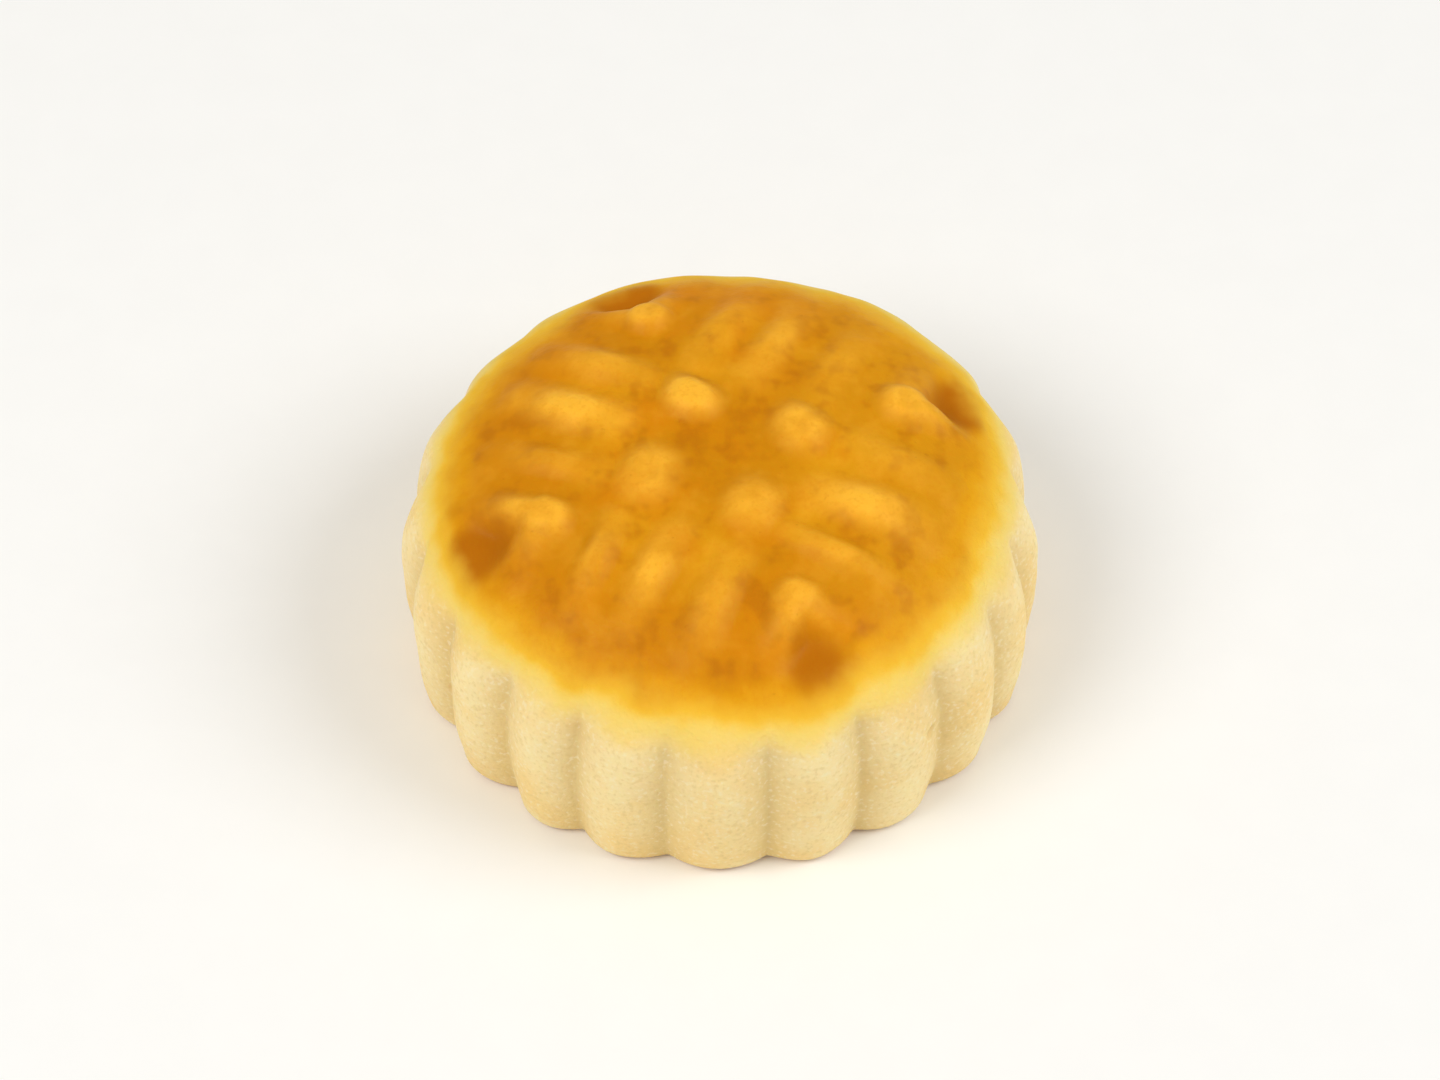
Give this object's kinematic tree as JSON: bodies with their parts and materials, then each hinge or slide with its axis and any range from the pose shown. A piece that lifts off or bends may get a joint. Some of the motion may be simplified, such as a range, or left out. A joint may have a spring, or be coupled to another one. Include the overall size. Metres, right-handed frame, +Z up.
{
  "type": "maamoul cookie",
  "caption": "Round moulded semolina cookie with a fluted cream side, a flat underside and a domed, glazed top stamped with beads, bars and corner ridges.",
  "frame": {"origin": "centre of the cookie's box in plan, on the flat underside", "axes": "+Z up, out of the stamped top; +X to the right and -Y towards the viewer of the chosen cookie"},
  "size_m": [0.0452, 0.0448, 0.0211],
  "materials": {
    "baked_dough": "matte cream semolina dough with a satin golden egg glaze over the top"
  },
  "bodies": {
    "root": {"maamoul": "baked_dough"}
  },
  "joints": []
}
